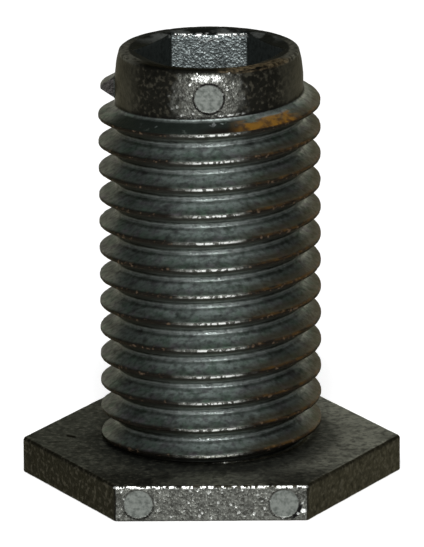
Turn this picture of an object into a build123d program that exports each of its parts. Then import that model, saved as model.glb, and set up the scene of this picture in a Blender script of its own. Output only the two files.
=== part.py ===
from build123d import *
from math import cos, radians, tan
import os

# Frame sleeve: a die-cast adjusting sleeve for window and door frames, in one piece.
# A hexagonal flange stands at the bottom, a coarse right-hand thread runs up the shank
# to a short plain collar, and a hexagon key socket opens at the top. The origin is at
# the middle of the flange's underside, +Z runs along the axis towards the collar, and
# -Y is the side with the ejector-pin marks, where one half of the die pulled away.
# Lengths are in millimetres and angles in degrees.

# Overall height, and the hexagonal flange at the bottom
overall_height = 40.0
flange_across_flats = 30.0
flange_thickness = 3.4
flange_corner_radius = 0.4
flange_top_radius = 0.3
flange_bottom_chamfer = 0.1

# Key socket, the wall outside its corners, and the screw hole in its floor
socket_across_flats = 12.0
socket_wall = 1.6
floor_thickness = 4.0
screw_hole_diameter = 8.0

# Thread: a symmetrical 60 degree form, with its crest flat and depth set by the pitch
pitch = 2.5
flank_half_angle = 30
crest_flat = pitch / 8
thread_depth = 0.62 * pitch

# Collar above the thread, its rim, and the shallow cone that leads into the socket
collar_length = 2.35
collar_taper = 0.4
rim_land = 0.87
rim_edge_radius = 0.2
mouth_depth = 0.3

# Ejector-pin marks: two on the front of the flange, one on the front of the collar
mark_diameter = 2.8
mark_depth = 0.12
flange_mark_offset = 6.55
flange_mark_edge_gap = 0.2
collar_mark_drop = 0.2

# Radii, from the socket outwards
socket_corner_radius = socket_across_flats / 2 / cos(radians(30))
root_radius = socket_corner_radius + socket_wall
rim_radius = root_radius - collar_taper
mouth_radius = rim_radius - rim_land

# Heights, from the rim downwards
collar_base_height = overall_height - collar_length
thread_end_height = collar_base_height - pitch / 2
thread_start_height = flange_thickness / 2
thread_length = thread_end_height - thread_start_height

# The ridge's foot is sunk into the shank a little, so that the two are one body.
ridge_sink = thread_depth / 10
ridge_depth = thread_depth + ridge_sink
ridge_base = crest_flat + 2 * ridge_depth * tan(radians(flank_half_angle))

# The ridge is swept from +X, then turned so that it ends at -X, in the parting plane.
parting_angle = 180
ridge_turn = parting_angle - 360 * thread_length / pitch

# The ridge of the thread: a trapezium swept up a helix. It starts inside the flange and
# stops above the last full turn in a plain cut face.
with BuildPart() as ridge:
    with BuildLine() as helix:
        Helix(pitch, thread_length, root_radius, center=(0, 0, thread_start_height))
    ridge_foot = (root_radius - ridge_sink, 0, thread_start_height)
    with BuildSketch(Plane(origin=ridge_foot, x_dir=(0, 0, 1), z_dir=(0, 1, 0))):
        with BuildLine():
            Polyline(
                (-ridge_base / 2, 0),
                (ridge_base / 2, 0),
                (crest_flat / 2, ridge_depth),
                (-crest_flat / 2, ridge_depth),
                close=True,
            )
        make_face()
    sweep(path=helix.line, is_frenet=True)

with BuildPart() as frame_sleeve:
    # Hexagonal flange with a flat towards the front, and its cast edges eased.
    with BuildSketch():
        flange_outline = RegularPolygon(flange_across_flats / 2, 6, major_radius=False)
        fillet(flange_outline.vertices(), flange_corner_radius)
    extrude(amount=flange_thickness)
    fillet(frame_sleeve.faces().sort_by(Axis.Z)[-1].edges(), flange_top_radius)
    chamfer(frame_sleeve.faces().sort_by(Axis.Z)[0].edges(), flange_bottom_chamfer)

    # Shank and collar, turned about the axis as one profile.
    with BuildSketch(Plane.XZ):
        with BuildLine():
            Polyline(
                (0, 0),
                (root_radius, 0),
                (root_radius, collar_base_height),
                (rim_radius, overall_height),
                (0, overall_height),
                close=True,
            )
        make_face()
    revolve(axis=Axis.Z)
    fillet(frame_sleeve.faces().sort_by(Axis.Z)[-1].edges(), rim_edge_radius)

    # The thread's ridge on the shank.
    add(ridge.part, rotation=(0, 0, ridge_turn))

    # Shallow cone at the mouth of the key socket.
    with BuildSketch(Plane.XZ):
        with BuildLine():
            Polyline(
                (0, overall_height),
                (mouth_radius, overall_height),
                (socket_across_flats / 2, overall_height - mouth_depth),
                (0, overall_height - mouth_depth),
                close=True,
            )
        make_face()
    revolve(axis=Axis.Z, mode=Mode.SUBTRACT)

    # Hexagon socket with a flat towards the front, down to the floor.
    with BuildSketch(Plane.XY.offset(floor_thickness)):
        RegularPolygon(socket_across_flats / 2, 6, major_radius=False)
    extrude(amount=overall_height - floor_thickness, mode=Mode.SUBTRACT)

    # Hole in the floor for the frame screw.
    with Locations((0, 0, floor_thickness)):
        Hole(screw_hole_diameter / 2, depth=floor_thickness)

    # Two ejector-pin marks pressed into the front of the flange.
    flange_mark_height = mark_diameter / 2 + flange_mark_edge_gap
    with BuildSketch(Plane.XZ.offset(flange_across_flats / 2 - mark_depth)):
        with Locations(
            (-flange_mark_offset, flange_mark_height),
            (flange_mark_offset, flange_mark_height),
        ):
            Circle(mark_diameter / 2)
    extrude(amount=2 * mark_depth, mode=Mode.SUBTRACT)

    # The collar's mark is a flat disc on a round face: metal fills it where the collar
    # falls back above, and is cut away where the shank stands in front of it.
    collar_mark_plane = Plane.XZ.offset(root_radius - mark_depth)
    collar_mark_height = collar_base_height - collar_mark_drop
    with BuildSketch(collar_mark_plane):
        with Locations((0, collar_mark_height)):
            Circle(mark_diameter / 2)
    extrude(amount=-socket_wall / 2)
    with BuildSketch(collar_mark_plane):
        with Locations((0, collar_mark_height)):
            Circle(mark_diameter / 2)
    extrude(amount=2 * mark_depth, mode=Mode.SUBTRACT)

frame_sleeve.part.label = "frame_sleeve"

os.makedirs("parts", exist_ok=True)
export_step(frame_sleeve.part, "parts/frame_sleeve.step")
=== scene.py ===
from math import ceil, cos, hypot, pi, radians, sin, tan

import bmesh
import bpy
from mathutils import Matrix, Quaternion, Vector, noise


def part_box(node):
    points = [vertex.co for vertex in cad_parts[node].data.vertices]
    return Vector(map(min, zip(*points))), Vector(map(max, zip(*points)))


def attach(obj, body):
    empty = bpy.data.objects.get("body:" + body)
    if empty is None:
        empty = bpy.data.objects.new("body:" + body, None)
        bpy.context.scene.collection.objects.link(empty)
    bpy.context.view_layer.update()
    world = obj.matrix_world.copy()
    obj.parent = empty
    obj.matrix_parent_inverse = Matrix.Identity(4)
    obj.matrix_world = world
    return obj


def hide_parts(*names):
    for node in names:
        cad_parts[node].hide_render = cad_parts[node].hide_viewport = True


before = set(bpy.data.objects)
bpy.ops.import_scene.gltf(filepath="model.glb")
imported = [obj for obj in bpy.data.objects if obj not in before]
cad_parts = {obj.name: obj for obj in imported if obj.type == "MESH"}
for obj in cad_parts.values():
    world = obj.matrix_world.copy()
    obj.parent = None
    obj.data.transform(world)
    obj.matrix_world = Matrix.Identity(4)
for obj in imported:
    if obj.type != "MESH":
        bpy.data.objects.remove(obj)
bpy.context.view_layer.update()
mm = 0.001


# Camera: a long lens, a little above the sleeve and square to the flange's front face, and
# held a fraction of a degree off level. The lens suits a picture 424 pixels wide and 547 high.
camera_distance = 673.7 * mm
camera_elevation = radians(16.12)
camera_azimuth = radians(0.288)
camera_lean = radians(-0.389)
camera_centre = Vector((0, 0, 20 * mm))
camera_aim = Vector((0.14, 0, 18.81)) * mm
focal_length = 487.6


def from_bearing(azimuth, elevation):
    """The direction that points out at this azimuth, from -Y towards +X, and elevation."""
    level = cos(elevation)
    return Vector((sin(azimuth) * level, -cos(azimuth) * level, sin(elevation)))


camera = bpy.data.objects.new("camera", bpy.data.cameras.new("camera"))
camera.data.lens = focal_length
camera.location = camera_centre + camera_distance * from_bearing(camera_azimuth, camera_elevation)
camera.rotation_mode = "QUATERNION"
level_view = (camera_aim - camera.location).to_track_quat("-Z", "Y")
camera.rotation_quaternion = level_view @ Quaternion((0, 0, 1), camera_lean)
camera.data.clip_start = 0.01
camera.data.clip_end = 50
bpy.context.scene.collection.objects.link(camera)
bpy.context.scene.camera = camera
bpy.context.scene.view_settings.view_transform = "Standard"


# Studio: two softboxes over the camera, the higher of them for the thread's open flanks, one
# overhead, and two behind the sleeve that draw its sides off from the background. Grey walls
# fill in the rest.
wall_grey = 0.17


def softbox(name, azimuth, elevation, distance, width, brightness):
    """A square lamp that faces the sleeve. Brightness is that of its own white face."""
    lamp = bpy.data.lights.new(name, "AREA")
    lamp.shape = "SQUARE"
    lamp.size = width
    lamp.energy = brightness * pi * width**2
    holder = bpy.data.objects.new(name, lamp)
    towards = from_bearing(radians(azimuth), radians(elevation))
    holder.location = camera_centre + towards * distance
    holder.rotation_mode = "QUATERNION"
    holder.rotation_quaternion = towards.to_track_quat("Z", "Y")
    bpy.context.scene.collection.objects.link(holder)


softbox("key", azimuth=0, elevation=24, distance=1.4, width=0.3, brightness=34)
softbox("high", azimuth=0, elevation=49, distance=1.4, width=0.36, brightness=26)
softbox("overhead", azimuth=180, elevation=82, distance=1.5, width=0.9, brightness=1.0)
softbox("back_right", azimuth=152, elevation=22, distance=1.4, width=0.5, brightness=1.6)
softbox("back_left", azimuth=-152, elevation=22, distance=1.4, width=0.5, brightness=1.0)

walls = bpy.data.worlds.new("walls")
walls.use_nodes = True
background = walls.node_tree.nodes["Background"]
background.inputs["Color"].default_value = (wall_grey, wall_grey, wall_grey, 1)
bpy.context.scene.world = walls


# Floor: a wide sheet of white card. It shows nearly white to the camera and in the metal,
# and still takes the sleeve's shadow.
floor_radius = 3.0
floor_sides = 64
card_white = (0.82, 0.82, 0.82)
card_glow = 0.45


class Number:
    """A number that a shader node gives. Sums on numbers add Math nodes, as in 1 - mask."""

    def __init__(self, recipe, socket):
        self.recipe = recipe
        self.socket = socket

    def __add__(self, other):
        return self.recipe.sum("ADD", self, other)

    def __sub__(self, other):
        return self.recipe.sum("SUBTRACT", self, other)

    def __rsub__(self, other):
        return self.recipe.sum("SUBTRACT", other, self)

    def __mul__(self, other):
        return self.recipe.sum("MULTIPLY", self, other)

    def __truediv__(self, other):
        return self.recipe.sum("DIVIDE", self, other)

    def __abs__(self):
        return self.recipe.sum("ABSOLUTE", self)

    def __neg__(self):
        return self.recipe.sum("MULTIPLY", self, -1)

    __radd__ = __add__
    __rmul__ = __mul__


class Recipe:
    """A material's node tree, with its surface shader."""

    def __init__(self, name):
        self.material = bpy.data.materials.new(name)
        self.material.use_nodes = True
        self.tree = self.material.node_tree
        self.surface = self.tree.nodes["Principled BSDF"]

    def node(self, kind, settings, inputs, result=0):
        """Adds a node: its settings first, then the value or link of each named or numbered socket."""
        made = self.tree.nodes.new("ShaderNode" + kind)
        for key, value in settings.items():
            setattr(made, key, value)
        named = inputs.items() if isinstance(inputs, dict) else enumerate(inputs)
        for key, value in named:
            self.join(made.inputs[key], value)
        return Number(self, made.outputs[result])

    def join(self, socket, value):
        """Gives a socket a link or a plain value."""
        if isinstance(value, Number):
            self.tree.links.new(value.socket, socket)
        elif socket.type == "RGBA":
            socket.default_value = (*value, 1)
        else:
            socket.default_value = value

    def shade(self, looks):
        """Gives the surface shader the value or link of each named socket."""
        for name, value in looks.items():
            self.join(self.surface.inputs[name], value)

    def sum(self, operation, *values):
        """Any sum that Blender's Math node can do."""
        return self.node("Math", {"operation": operation}, values)

    def mix(self, low, high, share):
        """One colour shading into another."""
        return self.node("Mix", {"data_type": "RGBA"}, {0: share, 6: low, 7: high}, 2)

    def step(self, value, start, end):
        """0 up to start, 1 from end on, and smooth between them. Start may be the larger."""
        ends = {"From Min": start, "From Max": end}
        smooth = {"interpolation_type": "SMOOTHSTEP"}
        return self.node("MapRange", smooth, {"Value": value, **ends})

    def between(self, value, start, end, blur):
        """1 from start to end and 0 outside them, with blurred ends."""
        rise = self.step(value, start - blur, start + blur)
        return rise * self.step(value, end + blur, end - blur)

    def parts(self, vector):
        """The x, y and z of a vector."""
        return [self.node("SeparateXYZ", {}, (vector,), axis) for axis in range(3)]

    def speckle(self, place, size, detail, stretch=(1, 1, 1)):
        """Cloudy noise from 0 to 1 with patches of about this size."""
        stretched = self.node("VectorMath", {"operation": "MULTIPLY"}, (place, stretch))
        look = {"Vector": stretched, "Scale": 1 / size, "Detail": detail}
        return self.node("TexNoise", {}, look)


card = bpy.data.meshes.new("floor")
rim = [from_bearing(2 * pi * side / floor_sides, 0) * floor_radius for side in range(floor_sides)]
card.from_pydata(rim, [], [range(floor_sides)])
floor = bpy.data.objects.new("floor", card)
bpy.context.scene.collection.objects.link(floor)

paper = Recipe("white_card")
seen = paper.node("LightPath", {}, {}, "Is Camera Ray")
seen = seen + paper.node("LightPath", {}, {}, "Is Glossy Ray")
seen = seen + paper.node("LightPath", {}, {}, "Is Transmission Ray")
paper.shade({"Base Color": card_white, "Roughness": 0.9, "Specular IOR Level": 0.0})
paper.shade({"Emission Color": (1, 1, 1), "Emission Strength": seen * card_glow})
card.materials.append(paper.material)


# Casting: the whole sleeve is one die casting in zinc alloy. The die opened towards the
# front and the back, a core pin left the key socket, and the skin is as it came out of
# the die, darkened, with nothing machined afterwards.
low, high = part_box("frame_sleeve")
overall_height = high.z
flange_across_flats = high.y - low.y
flange_thickness = 3.4 * mm
flange_corner_radius = 0.4 * mm
flange_edge_radius = 0.35 * mm
flange_foot_radius = 0.15 * mm
flange_mesh = 0.36 * mm

socket_across_flats = 12.0 * mm
socket_corner_radius = 0.25 * mm
socket_edge_round = 0.2 * mm
socket_wall = 1.6 * mm
floor_thickness = 4.0 * mm
screw_hole_diameter = 8.0 * mm

pitch = 2.5 * mm
crest_flat = pitch / 8
thread_depth = 0.62 * pitch
crest_round = 0.13 * mm
root_round = 0.32 * mm
flank_mesh = 0.55 * mm
end_height = 0.85
end_length = 20 / 360

collar_length = 2.35 * mm
collar_taper = 0.4 * mm
collar_swell_radius = 6 * mm
rim_land = 0.87 * mm
rim_round = 0.3 * mm
land_overlap = 1 * mm
mouth_depth = 0.3 * mm
collar_mesh = 0.25 * mm

mark_diameter = 2.8 * mm
mark_depth = 0.12 * mm
flange_mark_offset = 6.55 * mm
flange_mark_height = 1.6 * mm
collar_mark_drop = 0.2 * mm

root_radius = socket_across_flats / 2 / cos(radians(30)) + socket_wall
crest_radius = root_radius + thread_depth
rim_radius = root_radius - collar_taper
mouth_radius = rim_radius - rim_land
collar_base = overall_height - collar_length
thread_end = collar_base - pitch / 2
front_crest = thread_end - 0.75 * pitch


def rounded(corners, radii, steps=4):
    """The points of an open outline whose inner corners are rounded, each with its own radius."""
    points = [corners[0]]
    for before, corner, after, radius in zip(corners, corners[1:], corners[2:], radii):
        back = (before - corner).normalized()
        on = (after - corner).normalized()
        half = back.angle(on) / 2
        centre = corner + (back + on).normalized() * radius / sin(half)
        start = corner + back * radius / tan(half) - centre
        end = corner + on * radius / tan(half) - centre
        for step in range(steps + 1):
            arm = start.slerp(end, step / steps).normalized()
            points.append(centre + arm * radius)
    return points + [corners[-1]]


def spaced(points, gap):
    """The same outline with points added, so that no two neighbours are further apart than gap."""
    filled = [points[0]]
    for start, end in zip(points, points[1:]):
        parts = max(1, ceil((end - start).length / gap - 0.01))
        filled += [start.lerp(end, part / parts) for part in range(1, parts + 1)]
    return filled


def solid(name, points, faces):
    """A closed mesh object with its faces turned outwards."""
    mesh = bpy.data.meshes.new(name)
    mesh.from_pydata(points, [], faces)
    work = bmesh.new()
    work.from_mesh(mesh)
    bmesh.ops.recalc_face_normals(work, faces=work.faces)
    work.to_mesh(mesh)
    work.free()
    made = bpy.data.objects.new(name, mesh)
    bpy.context.scene.collection.objects.link(made)
    return made


def stacked(name, rings):
    """A solid skinned over a stack of closed rings, with a fan of triangles over each end."""
    count = len(rings[0])
    points = [point for ring in rings for point in ring]
    faces = []
    for lower in range(0, count * (len(rings) - 1), count):
        for spot in range(count):
            beside = (spot + 1) % count
            faces.append((lower + spot, lower + beside, lower + beside + count, lower + spot + count))
    for edge, ring in ((0, rings[0]), (count * (len(rings) - 1), rings[-1])):
        hub = len(points)
        points.append(sum(ring, Vector((0, 0, 0))) / count)
        faces += [(hub, edge + spot, edge + (spot + 1) % count) for spot in range(count)]
    return solid(name, points, faces)


def hexagon(across_flats, corner_radius, gap):
    """A closed hexagon, a flat towards -Y, with rounded corners, as flat points."""
    reach = across_flats / 2 / cos(radians(30))
    bearings = [radians(60 * corner) for corner in range(6)]
    corners = [Vector((cos(bearing), sin(bearing))) * reach for bearing in bearings]
    middle = (corners[5] + corners[0]) / 2
    outline = [middle, *corners, middle]
    return spaced(rounded(outline, [corner_radius] * 6), gap)[:-1]


# The flange's edges, from inside the underside, round the outside, to the top. Fans of
# triangles close both faces.
half_flats = flange_across_flats / 2
flange_section = rounded(
    [
        Vector((0.3 * half_flats, 0)),
        Vector((half_flats, 0)),
        Vector((half_flats, flange_thickness)),
        Vector((0.4 * half_flats, flange_thickness)),
    ],
    [flange_foot_radius, flange_edge_radius],
)
flange_outline = hexagon(flange_across_flats, flange_corner_radius, flange_mesh)
flange_rings = []
for reach, height in spaced(flange_section, flange_mesh):
    share = reach / half_flats
    flange_rings.append([Vector((x * share, y * share, height)) for x, y in flange_outline])
casting = stacked("casting", flange_rings)

# The thread's section over one pitch, from the middle of a root up to the middle of the
# next, as heights about the crest and heights above the root.
flank_rise = thread_depth * tan(radians(30))
thread_section = rounded(
    [
        Vector((-pitch / 2, 0)),
        Vector((-crest_flat / 2 - flank_rise, 0)),
        Vector((-crest_flat / 2, thread_depth)),
        Vector((crest_flat / 2, thread_depth)),
        Vector((crest_flat / 2 + flank_rise, 0)),
        Vector((pitch / 2, 0)),
    ],
    [root_round, crest_round, crest_round, root_round],
    steps=3,
)
thread_section = spaced(thread_section, flank_mesh)
levels = len(thread_section) - 1

# The shank follows the thread round in one long strip, which is sewn to itself one turn
# further on, and starts inside the flange. Bearings count from -X, where the thread ends
# and its ridge draws in a little.
columns = 240
turns = 14
last = turns * columns
points = []
faces = []
at = {}
for level, (rise, ridge) in enumerate(thread_section[:-1]):
    for column in range(last + (columns if level == 0 else 0) + 1):
        to_go = (last - column) / columns
        tail = min(1, end_height + (1 - end_height) * max(0, to_go) / end_length)
        bearing = 2 * pi * (column % columns) / columns - pi
        reach = root_radius + ridge * tail
        height = thread_end - to_go * pitch + rise
        at[column, level] = len(points)
        points.append(Vector((cos(bearing) * reach, sin(bearing) * reach, height)))


def sewn(column, level):
    """The strip's point here. Its top edge is its bottom edge one turn further on."""
    return at[column + columns, 0] if level == levels else at[column, level]


for column in range(last):
    for level in range(levels):
        near = (sewn(column, level), sewn(column, level + 1))
        far = (sewn(column + 1, level + 1), sewn(column + 1, level))
        faces.append((*near, *far))

# Above the last turn, plain rings fill in up to the collar and close up at the cut face
# where the thread ends.
fill_rings = 8
seam = sewn(last, levels)
fill = [[at[last + column, 0] for column in range(columns)]]
for ring in range(1, fill_rings):
    row = []
    for column in range(columns):
        foot = points[at[last + column, 0]]
        row.append(len(points))
        height = foot.z + (collar_base - foot.z) * ring / fill_rings
        points.append(Vector((foot.x, foot.y, height)))
    fill.append(row)


def ring_at(reach, height):
    """A new level ring of points round the axis."""
    first = len(points)
    for column in range(columns):
        bearing = 2 * pi * column / columns - pi
        points.append(Vector((cos(bearing) * reach, sin(bearing) * reach, height)))
    return list(range(first, first + columns))


fill.append([seam, *ring_at(root_radius, collar_base)[1:]])
for lower, upper in zip(fill, fill[1:]):
    for column in range(columns - 1):
        faces.append((lower[column], lower[column + 1], upper[column + 1], upper[column]))
    faces.append((lower[-1], seam, upper[-1]))
faces.append([sewn(last, level) for level in range(levels + 1)] + [row[0] for row in fill[-2:0:-1]])

# Collar: it draws in with a slight swell, turns over the rim, and runs in past the land, which
# the core pin cuts back to its width.
collar_middle = Vector((root_radius - 0.3 * collar_taper, collar_base + collar_length / 2))
collar_section = rounded(
    [
        Vector((root_radius, collar_base)),
        collar_middle,
        Vector((rim_radius, overall_height)),
        Vector((mouth_radius - land_overlap, overall_height)),
    ],
    [collar_swell_radius, rim_round],
    steps=5,
)
top = fill[-1]
for reach, height in spaced(collar_section, collar_mesh)[1:]:
    ring = ring_at(reach, height)
    faces += [
        (top[column], top[(column + 1) % columns], ring[(column + 1) % columns], ring[column])
        for column in range(columns)
    ]
    top = ring
hub = len(points)
points.append(Vector((0, 0, overall_height)))
faces += [(top[column], top[(column + 1) % columns], hub) for column in range(columns)]

# The strip's lower end is closed off inside the flange.
start_edge = [at[column, 0] for column in range(columns + 1)]
start_edge += [at[0, level] for level in range(levels - 1, 0, -1)]
hub = len(points)
points.append(Vector((0, 0, flange_thickness / 2)))
faces += [(edge, start_edge[spot - 1], hub) for spot, edge in enumerate(start_edge)]

used = sorted({corner for face in faces for corner in face})
renumbered = {corner: spot for spot, corner in enumerate(used)}
shank = solid(
    "shank",
    [points[corner] for corner in used],
    [[renumbered[corner] for corner in face] for face in faces],
)

# Core pin: its hexagon makes the key socket, and its shoulder the cone at the mouth, with
# the edge between them rounded. It stands out a little above the rim.
pin_mesh = 0.6 * mm
pin_stand_out = 0.1 * mm
shaft_rings = 40
shaft_gap = 0.9 * mm
pin_outline = hexagon(socket_across_flats, socket_corner_radius, pin_mesh)
cone_slope = mouth_depth / (mouth_radius - socket_across_flats / 2)
cone_foot = overall_height - mouth_depth
cone_top = mouth_radius + pin_stand_out / cone_slope
pin_top = overall_height + pin_stand_out


def cone_height(reach):
    """The height of the mouth's cone at this distance from the axis."""
    return cone_foot + (reach - socket_across_flats / 2) * cone_slope


pin_sides = []
for x, y in pin_outline:
    reach = hypot(x, y)
    shoulder = rounded(
        [
            Vector((reach, floor_thickness)),
            Vector((reach, cone_height(reach))),
            Vector((cone_top, pin_top)),
        ],
        [socket_edge_round],
    )
    shaft = [Vector((reach, floor_thickness + shaft_gap * ring)) for ring in range(shaft_rings)]
    profile = shaft + shoulder[1:]
    pin_sides.append([Vector((x * out / reach, y * out / reach, height)) for out, height in profile])
core_pin = stacked("core_pin", list(zip(*pin_sides)))


def round_tool(name, axis, start, end, diameter, sides=72):
    """A plain round cutter or filler between two points along an axis."""
    side = axis.orthogonal().normalized() * diameter / 2
    rings = []
    for place in (start, end):
        turned = [Quaternion(axis, 2 * pi * spot / sides) @ side for spot in range(sides)]
        rings.append([place + arm for arm in turned])
    return stacked(name, rings)


def combine(operation, tool):
    """Joins a tool to the casting or cuts it away, and deletes the tool."""
    step = casting.modifiers.new(operation, "BOOLEAN")
    step.operation = operation
    step.solver = "MANIFOLD"
    step.object = tool
    depsgraph = bpy.context.evaluated_depsgraph_get()
    result = bpy.data.meshes.new_from_object(casting.evaluated_get(depsgraph))
    casting.modifiers.remove(step)
    casting.data = result
    bpy.data.objects.remove(tool)


combine("UNION", shank)
combine("DIFFERENCE", core_pin)
upwards = Vector((0, 0, 1))
overshoot = 1 * mm
screw_hole = (Vector((0, 0, -overshoot)), Vector((0, 0, floor_thickness + overshoot)))
combine("DIFFERENCE", round_tool("screw_hole", upwards, *screw_hole, screw_hole_diameter))

# Ejector-pin marks: two in the flange's front face, and one on the collar, where metal
# fills the disc above and it is cut into the shank below.
forwards = Vector((0, -1, 0))
for side in (-1, 1):
    mark = Vector((side * flange_mark_offset, mark_depth - half_flats, flange_mark_height))
    cut = round_tool("mark", forwards, mark, mark + forwards * overshoot, mark_diameter)
    combine("DIFFERENCE", cut)
filling_depth = 0.9 * mm
collar_mark = Vector((0, mark_depth - root_radius, collar_base - collar_mark_drop))
back_of_filling = collar_mark - forwards * filling_depth
combine("UNION", round_tool("filling", forwards, back_of_filling, collar_mark, mark_diameter))
cut = round_tool("mark", forwards, collar_mark, collar_mark + forwards * overshoot, mark_diameter)
combine("DIFFERENCE", cut)

# Cast skin: shallow waves and pits, and nicks in the thread's crests, always inwards, so
# that the sleeve keeps its size.
wave_size = 1.6 * mm
wave_depth = 0.03 * mm
pit_size = 0.42 * mm
pit_depth = 0.03 * mm
nick_size = 0.9 * mm
nick_depth = 0.07 * mm
nick_threshold = 0.12
nick_reach = 0.25 * mm
lowest_nick = flange_thickness + 0.5 * mm
sharp_edge = radians(38)
normals = [vertex.normal.copy() for vertex in casting.data.vertices]
for vertex, normal in zip(casting.data.vertices, normals):
    wave = noise.noise(vertex.co / wave_size) * 0.5 + 0.5
    pit = max(0.0, noise.noise(vertex.co / pit_size + Vector((7, 3, 5))))
    nick = max(0.0, noise.noise(vertex.co / nick_size + Vector((2, 9, 4))) - nick_threshold)
    near_crest = max(0.0, (hypot(vertex.co.x, vertex.co.y) - crest_radius) / nick_reach + 1)
    nick *= min(1.0, near_crest) if vertex.co.z > lowest_nick else 0.0
    vertex.co -= normal * (wave * wave_depth + pit * pit_depth + nick * nick_depth)
casting.data.polygons.foreach_set("use_smooth", [True] * len(casting.data.polygons))
casting.data.set_sharp_from_angle(angle=sharp_edge)

# Finish: zinc under a thin dark passivation. The faces that the die pulled straight off are
# grainy and painted light, the sides are painted nearly black as shade, and the open flanks of
# the thread are a smoother grey green in painted light and shade. Painted highlights lie on
# edges and crests. Orange stain lies on the top turn, and brown on the rim and the crests.
finish = Recipe("darkened_zinc")
place = finish.node("TexCoord", {}, {}, "Object")
x, y, z = finish.parts(place)
ny, nz = finish.parts(finish.node("TexCoord", {}, {}, "Normal"))[1:]
azimuth = finish.sum("ARCTAN2", x, -y)
radius = finish.sum("SQRT", x * x + y * y)
from_middle = finish.sum("MINIMUM", abs(azimuth), pi - abs(azimuth))

# Turns above the highest crest at the front. above_crest tells where in the thread's section
# a spot is, from -0.5 to 0.5, and past_last is 0 all along the top turn's crest, round to the
# cut face.
turn = (z - front_crest) / pitch - azimuth / (2 * pi)
above_crest = turn - finish.sum("ROUND", turn)
past_last = turn - finish.sum("LESS_THAN", azimuth, -pi / 2)

# Irregular patterns in the skin.
grit_size = 0.2 * mm
mottle = finish.speckle(place, size=0.7 * mm, detail=4.0)
patches = finish.speckle(place, size=1.9 * mm, detail=3.0)
film = finish.speckle(place, size=1.1 * mm, detail=3.0)
dirt = finish.speckle(place, size=0.4 * mm, detail=4.0)
streaks = finish.speckle(place, size=1.2 * mm, detail=4.0, stretch=(0.6, 0.6, 4))
dashes = finish.speckle(place, size=0.4 * mm, detail=3.0, stretch=(1, 1, 0.7))
dashes = finish.step(dashes, 0.46, 0.54)
grit_look = {"Vector": place, "Scale": 1 / grit_size}
grit = finish.node("TexVoronoi", {}, grit_look)
grit_shade = finish.parts(finish.node("TexVoronoi", {}, grit_look, "Color"))[0]

# Where each kind of surface is.
die_face = finish.step(abs(ny) + (mottle - 0.5) * 0.12, 0.9, 0.975)
upward = finish.step(nz, 0.2, 0.6)
downward = finish.step(nz, -0.15, -0.5)
rightward = finish.step(x, -15 * mm, 14 * mm)
on_thread = finish.step(z, flange_thickness + 0.1 * mm, flange_thickness + 0.3 * mm)
on_thread = on_thread * finish.step(past_last, 0.46, 0.38) * finish.step(radius, 7.9 * mm, 8.1 * mm)
on_crest = on_thread * finish.step(radius, crest_radius - 0.25 * mm, crest_radius - 0.12 * mm)
in_valley = on_thread * finish.step(radius, root_radius + 0.5 * mm, root_radius + 0.1 * mm)
on_flange = finish.step(z, 5 * mm, 4 * mm) * (1 - on_thread * finish.step(radius, 11 * mm, 10.5 * mm))
on_flange_top = finish.step(nz, 0.85, 0.98) * on_flange
on_rim = finish.step(z, overall_height - 0.45 * mm, overall_height - 0.15 * mm)
in_mouth = finish.step(radius, mouth_radius + 0.1 * mm, mouth_radius - 0.1 * mm)
in_socket = finish.step(radius, mouth_radius + 0.05 * mm, mouth_radius - 0.05 * mm) * (1 - on_rim)
near_top = finish.step(z, 30 * mm, 31 * mm)
on_cut_face = finish.step(x, -root_radius, -root_radius - 0.2 * mm) * die_face * near_top
on_right = finish.step(azimuth, 0.15, 0.6) * finish.step(azimuth, 2.6, 2.0)
at_front = finish.step(y, -6.8 * mm, -7.3 * mm)


def from_mark(across, height):
    """The distance from the middle of an ejector-pin mark, seen square on."""
    return finish.sum("SQRT", (x - across) * (x - across) + (z - height) * (z - height))


to_mark = from_mark(0, collar_base - collar_mark_drop) + (mottle - 0.5) * 0.15 * mm
for side in (-1, 1):
    to_mark = finish.sum("MINIMUM", to_mark, from_mark(side * flange_mark_offset, flange_mark_height))
mark_edge = mark_diameter / 2
mark_disc = at_front * finish.step(to_mark, mark_edge - 0.05 * mm, mark_edge - 0.2 * mm)
mark_line = at_front * finish.between(to_mark, mark_edge - 0.1 * mm, mark_edge + 0.08 * mm, 0.06 * mm)
grainy = die_face * (1 - mark_disc) * (1 - on_thread * 0.6) * (1 - in_socket * 0.55)

# Sides, painted nearly black as shade, and the faces that the die or the core pin pulled
# straight off, in light and dark grains on a painted light tone.
side_left = (0.013, 0.0125, 0.01)
side_right = (0.038, 0.035, 0.024)
side_light = (0.085, 0.08, 0.06)
side_dark = (0.006, 0.006, 0.005)
collar_sheen_tone = (0.045, 0.043, 0.033)
lit_grain_tones = ((0.04, 0.04, 0.034), (0.215, 0.222, 0.2))
lit_socket_grain_tones = ((0.09, 0.105, 0.105), (0.55, 0.63, 0.63))
side_tone = finish.mix(side_left, side_right, rightward * on_flange)
side_tone = finish.mix(side_tone, side_light, finish.step(dirt, 0.5, 0.34) * 0.5)
side_tone = finish.mix(side_tone, side_dark, finish.step(mottle, 0.5, 0.66) * 0.6)
# The collar's sides get a painted reflection, lighter than the other sides.
collar_sheen_side = finish.step(abs(ny), 0.72, 0.5) * near_top
side_tone = finish.mix(side_tone, collar_sheen_tone, collar_sheen_side * (1 - on_thread))
# The grain tones of the die faces and the socket are painted light, far lighter than the shaded sides.
lit_die_tone = finish.mix(*lit_grain_tones, grit_shade * (0.4 + 0.6 * mottle) + 0.12)
lit_socket_tone = finish.mix(*lit_socket_grain_tones, grit_shade * 0.7 + 0.1)
lit_die_tone = finish.mix(lit_die_tone, lit_socket_tone, in_socket)
cast = finish.mix(side_tone, lit_die_tone, die_face)
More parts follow.
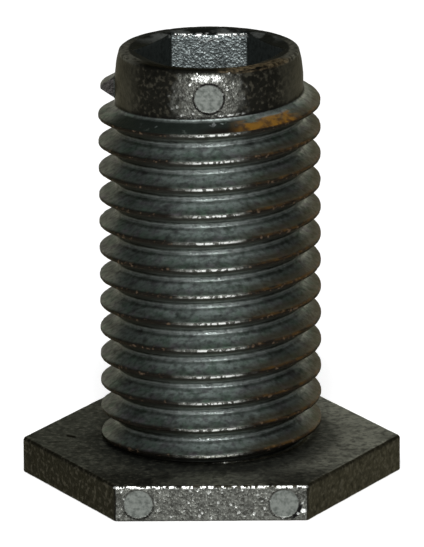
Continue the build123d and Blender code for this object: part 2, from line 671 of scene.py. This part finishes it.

# Thread, in painted light and shade. Each pair of tones runs from a shaded tone at the sleeve's
# sides to a lit one at its front and back. The flanks are painted lighter at the foot and darker
# towards the crest, and the lower flanks dark as shade under each ridge. The open flanks carry
# a faint green and violet film.
valley_shade_and_light = ((0.06, 0.068, 0.062), (0.17, 0.192, 0.184))
inner_shade_and_light = ((0.125, 0.15, 0.138), (0.275, 0.33, 0.31))
foot_shade_and_light = ((0.24, 0.28, 0.26), (0.32, 0.37, 0.355))
lower_shade_and_light = ((0.04, 0.039, 0.031), (0.07, 0.07, 0.062))
lower_root_shade_and_light = ((0.05, 0.053, 0.046), (0.24, 0.26, 0.245))
outer_flank = (0.1, 0.118, 0.104)
flank_side_reflection = (0.29, 0.295, 0.24)
green_film = (0.085, 0.16, 0.105)
violet_film = (0.15, 0.115, 0.15)
flank_dark = (0.04, 0.042, 0.038)
arc_highlight_tone = (0.42, 0.46, 0.45)
# Painted light: 1 at the front and the back of the sleeve, 0 at its sides.
front_back_painted_light = finish.step(from_middle, 0.85, 0.1)
cast = finish.mix(cast, finish.mix(*valley_shade_and_light, front_back_painted_light), in_valley)
at_foot = finish.step(radius, root_radius + 0.75 * mm, root_radius + 0.3 * mm)
inner = finish.mix(finish.mix(*inner_shade_and_light, front_back_painted_light), finish.mix(*foot_shade_and_light, front_back_painted_light), at_foot)
outer = finish.step(radius, root_radius + 0.7 * mm, root_radius + 1.35 * mm)
flank = finish.mix(inner, outer_flank, outer)
# A painted reflection lightens the flanks at the sleeve's sides.
flank = finish.mix(flank, flank_side_reflection, finish.step(from_middle, 0.95, 1.3) * 0.7)
flank = finish.mix(flank, green_film, finish.step(film, 0.52, 0.66) * 0.4)
flank = finish.mix(flank, violet_film, finish.step(film, 0.46, 0.32) * 0.4)
flank = finish.mix(flank, flank_dark, finish.step(mottle, 0.46, 0.7) * 0.5)
cast = finish.mix(cast, flank, upward * on_thread)
# A painted highlight arc along the root fillet, near the front and the back.
arc_highlight = on_thread * finish.between(nz, 0.36, 0.72, 0.1) * finish.step(from_middle, 0.68, 0.45)
arc_highlight = arc_highlight * finish.step(radius, root_radius + 0.8 * mm, root_radius + 0.5 * mm)
arc_highlight = arc_highlight * finish.step(mottle, 0.3, 0.45)
cast = finish.mix(cast, arc_highlight_tone, arc_highlight * (0.2 + finish.step(from_middle, 0.05, 0.3) * 0.3))
# The lower flanks are painted dark as shade under each ridge, lighter towards the root.
at_root = finish.step(radius, root_radius + 0.95 * mm, root_radius + 0.45 * mm)
lower = finish.mix(finish.mix(*lower_shade_and_light, front_back_painted_light), finish.mix(*lower_root_shade_and_light, front_back_painted_light), at_root)
cast = finish.mix(cast, lower, downward * on_thread)

# The flange's top is lighter to the right, with painted shade round the shank and in the front corners.
top_left = (0.095, 0.1, 0.08)
top_right = (0.34, 0.348, 0.285)
top_corner_shade = (0.035, 0.036, 0.03)
top_foot_shade = (0.05, 0.055, 0.047)
top_light = (0.36, 0.35, 0.27)
top_dark = (0.02, 0.02, 0.018)
ragged_x = abs(x) + (patches - 0.5) * 6 * mm
front_corner_shade = finish.step(y, -8.5 * mm, -12.5 * mm) * finish.step(ragged_x, 2 * mm, 6.5 * mm)
top_tone = finish.mix(top_left, top_right, rightward)
top_tone = finish.mix(top_tone, top_corner_shade, front_corner_shade * 0.85)
top_tone = finish.mix(top_tone, top_foot_shade, finish.step(radius, 13 * mm, 10.5 * mm) * 0.8)
top_tone = finish.mix(top_tone, top_light, finish.step(dirt, 0.48, 0.34) * 0.22)
top_tone = finish.mix(top_tone, top_dark, finish.step(mottle, 0.5, 0.66) * 0.5)
cast = finish.mix(cast, top_tone, on_flange_top)

# Rim, mouth and socket sides, the cut face at the thread's end, and the collar's foot.
rim_side = (0.14, 0.14, 0.115)
rim_back = (0.034, 0.038, 0.036)
rim_dark = (0.02, 0.02, 0.018)
rim_front = (0.006, 0.006, 0.005)
mouth_tones = ((0.014, 0.017, 0.017), (0.13, 0.14, 0.135))
socket_side = (0.08, 0.093, 0.09)
cut_grey = (0.06, 0.056, 0.054)
collar_foot_dark = (0.008, 0.008, 0.007)
rim_tone = finish.mix(rim_side, rim_back, finish.step(y, 1 * mm, 5 * mm))
rim_tone = finish.mix(rim_tone, rim_dark, finish.step(dirt, 0.46, 0.64) * 0.6)
rim_tone = finish.mix(rim_tone, rim_front, finish.step(abs(azimuth), 1.15, 0.75))
cast = finish.mix(cast, rim_tone, on_rim)
mouth_streaks = finish.step(streaks, 0.48, 0.6) * finish.step(y, 2 * mm, 5 * mm)
cast = finish.mix(cast, finish.mix(*mouth_tones, mouth_streaks), in_mouth * upward)
cast = finish.mix(cast, socket_side, in_socket * (1 - die_face) * (1 - upward))
cast = finish.mix(cast, cut_grey, on_cut_face)
# The crease at the collar's foot is darker in patches.
collar_foot = finish.between(past_last, 0.44, 0.53, 0.03) * finish.step(radius, 8 * mm, 8.2 * mm)
cast = finish.mix(cast, collar_foot_dark, collar_foot * finish.step(mottle, 0.3, 0.5) * 0.8)

# Grime over everything so far, then the clean discs of the ejector pins with their dark
# outlines, and a scratch on the flange's left.
patchy_grime = (0.012, 0.012, 0.01)
fine_grime = (0.01, 0.011, 0.009)
disc_tones = ((0.1, 0.11, 0.1), (0.19, 0.205, 0.188))
outline_dark = (0.012, 0.012, 0.011)
scratch_dark = (0.003, 0.003, 0.003)
cast = finish.mix(cast, patchy_grime, finish.step(patches, 0.5, 0.75) * 0.4)
cast = finish.mix(cast, fine_grime, finish.step(dirt, 0.42, 0.68) * 0.4)
cast = finish.mix(cast, finish.mix(*disc_tones, finish.step(dirt, 0.3, 0.62)), mark_disc)
line_depth = finish.step(mottle, 0.3, 0.55) * (0.55 + finish.step(z, 5 * mm, 6 * mm) * 0.45)
cast = finish.mix(cast, outline_dark, mark_line * line_depth)
scratch = on_flange_top * finish.between(x, -13.3 * mm, -12.4 * mm, 0.1 * mm)
scratch = scratch * finish.between(y + (x + 13 * mm) * 0.6, -0.3 * mm, 0.3 * mm, 0.12 * mm)
cast = finish.mix(cast, scratch_dark, scratch)

# Painted highlights, near white, in broken dashes: on the crests at the front and the back, the
# flange's front and back edges, the socket's upper edge, the collar's foot and below its rim. A
# chip beside the right-hand mark is painted as a glint with painted shade in its hollow, and
# single grains get painted glints.
highlight_white = (0.8, 0.82, 0.79)
hollow_shade = (0.008, 0.008, 0.008)
near_middle = finish.sum("MINIMUM", abs(azimuth - 0.04), pi - abs(azimuth))
crest_highlight = on_crest * finish.between(above_crest, -0.06, 0.02, 0.015)
crest_highlight = crest_highlight * finish.step(near_middle, 0.29, 0.1)
edge_highlight = on_flange * finish.step(z, flange_thickness - 0.36 * mm, flange_thickness - 0.26 * mm)
edge_highlight = edge_highlight * finish.step(abs(y), half_flats - 0.32 * mm, half_flats - 0.2 * mm)
edge_highlight = edge_highlight * finish.step(nz, 0.85, 0.6)
socket_highlight = finish.step(radius, 7.0 * mm, 6.85 * mm) * finish.step(abs(y), 5.6 * mm, 5.8 * mm)
socket_highlight = socket_highlight * finish.between(z, cone_foot - 0.24 * mm, cone_foot + 0.06 * mm, 0.04 * mm)
collar_foot_highlight = finish.between(past_last, 0.5, 0.55, 0.02) * finish.between(azimuth, 0.14, 0.36, 0.05)
collar_highlight = grainy * finish.between(z, 39.0 * mm, 39.55 * mm, 0.1 * mm)
collar_highlight = collar_highlight * finish.step(from_middle, 0.22, 0.1)
painted_highlight = crest_highlight
for more_highlight in (edge_highlight, socket_highlight, collar_foot_highlight, collar_highlight * 0.8):
    painted_highlight = finish.sum("MAXIMUM", painted_highlight, more_highlight)
painted_highlight = painted_highlight * dashes * 0.85
# The chip is only painted: a painted glint, and painted shade in the hollow beside the mark.
chip_x = flange_mark_offset + 1.72 * mm
chip_z = flange_mark_height - 0.64 * mm
chip_glint = finish.sum("SQRT", (x - chip_x) * (x - chip_x) * 0.45 + (z - chip_z) * (z - chip_z))
chip_hollow_shade = at_front * on_flange * finish.between(to_mark, 1.32 * mm, 1.62 * mm, 0.08 * mm)
chip_hollow_shade = chip_hollow_shade * finish.step(x, flange_mark_offset + 0.5 * mm, flange_mark_offset + 0.9 * mm)
chip_hollow_shade = chip_hollow_shade * finish.step(z, 1.7 * mm, 1.4 * mm)
cast = finish.mix(cast, hollow_shade, chip_hollow_shade)
painted_highlight = finish.sum("MAXIMUM", painted_highlight, at_front * on_flange * finish.step(chip_glint, 0.22 * mm, 0.15 * mm))
painted_highlight = painted_highlight * (1 - chip_hollow_shade)
glints = grainy * finish.step(grit_shade, 0.96, 0.97)
painted_highlight = finish.sum("MAXIMUM", painted_highlight, glints * 0.4)
cast = finish.mix(cast, highlight_white, painted_highlight)

# Brown dirt on the right of the rim and along the crests, and a top turn that is dark at the
# front, with a patch of orange stain to the right of it.
flank_brown = (0.08, 0.062, 0.032)
rim_browns = ((0.22, 0.17, 0.1), (0.04, 0.03, 0.018))
crest_browns = ((0.012, 0.01, 0.008), (0.11, 0.078, 0.052))
turn_dark = (0.02, 0.026, 0.022)
umber = (0.014, 0.011, 0.009)
stain_tones = ((0.04, 0.017, 0.004), (0.15, 0.07, 0.005))
tinted = on_right * on_thread * finish.step(radius, root_radius + 0.4 * mm, root_radius + 1.1 * mm)
cast = finish.mix(cast, flank_brown, tinted * upward * 0.6)
brown_rim = on_rim * finish.between(azimuth, 0.2, 1.1, 0.15) * finish.step(streaks, 0.34, 0.56)
rim_brown = finish.mix(*rim_browns, finish.step(dirt, 0.36, 0.64))
cast = finish.mix(cast, rim_brown, brown_rim * (1 - in_mouth * 0.75))
crest_dirt = on_thread * finish.between(above_crest, -0.07, 0.09, 0.03)
crest_dirt = crest_dirt * finish.step(from_middle, 0.28, 0.4) * finish.step(from_middle, 1.35, 1.0)
crest_brown = finish.mix(*crest_browns, finish.step(dirt, 0.56, 0.68))
cast = finish.mix(cast, crest_brown, crest_dirt * 0.85)
dark_turn = on_thread * upward * finish.between(past_last, -0.05, 0.36, 0.04)
dark_turn = dark_turn * finish.between(azimuth, -1.15, 0.4, 0.2) * finish.step(mottle, 0.24, 0.36)
cast = finish.mix(cast, turn_dark, dark_turn * 0.97)
top_turn = on_thread * upward * finish.step(abs(past_last - 0.06), 0.3, 0.22)
umber_patch = top_turn * finish.between(azimuth, -0.05, 0.35, 0.12) * outer
cast = finish.mix(cast, umber, umber_patch * 0.9)
orange = top_turn * finish.between(azimuth, 0.27, 0.95, 0.12)
orange = orange * finish.step(streaks + outer * 0.2, 0.36, 0.56)
brown_line = finish.between(above_crest, 0.02, 0.1, 0.03) * finish.step(azimuth, 0.32, 0.6)
brown_line = brown_line * finish.step(azimuth, 2.6, 2.0)
brown = on_thread * brown_line * finish.step(streaks, 0.36, 0.52)
deposit = finish.sum("MAXIMUM", brown * 0.34, orange * 0.9)
cast = finish.mix(cast, finish.mix(*stain_tones, finish.step(mottle, 0.34, 0.6)), deposit)

# Gloss and relief: the stain is a matt crust, and the painted highlights and the valleys shine more.
reflection = 0.2
edge_reflection = (0.62, 0.6, 0.52)
grit_height = 0.07 * mm
ripple_size = 0.45 * mm
ripple_height = 0.045 * mm
roughness = 0.56 - in_valley * 0.16 - die_face * 0.1 - painted_highlight * 0.15 + deposit * 0.25
bumps = grit * (0.1 + grainy * 0.9)
grit_relief = finish.node("Bump", {}, {"Height": bumps, "Distance": grit_height, "Strength": 1.0})
ripple = finish.speckle(place, size=ripple_size, detail=3.0)
ripple_look = {"Height": ripple, "Distance": ripple_height, "Strength": 1.0, "Normal": grit_relief}
relief = finish.node("Bump", {}, ripple_look)
finish.shade({"Base Color": cast, "Metallic": 1 - deposit * 0.95, "Roughness": roughness})
finish.shade({"Specular IOR Level": reflection, "Specular Tint": edge_reflection, "Normal": relief})
casting.data.materials.clear()
casting.data.materials.append(finish.material)
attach(casting, "root")
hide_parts("frame_sleeve")
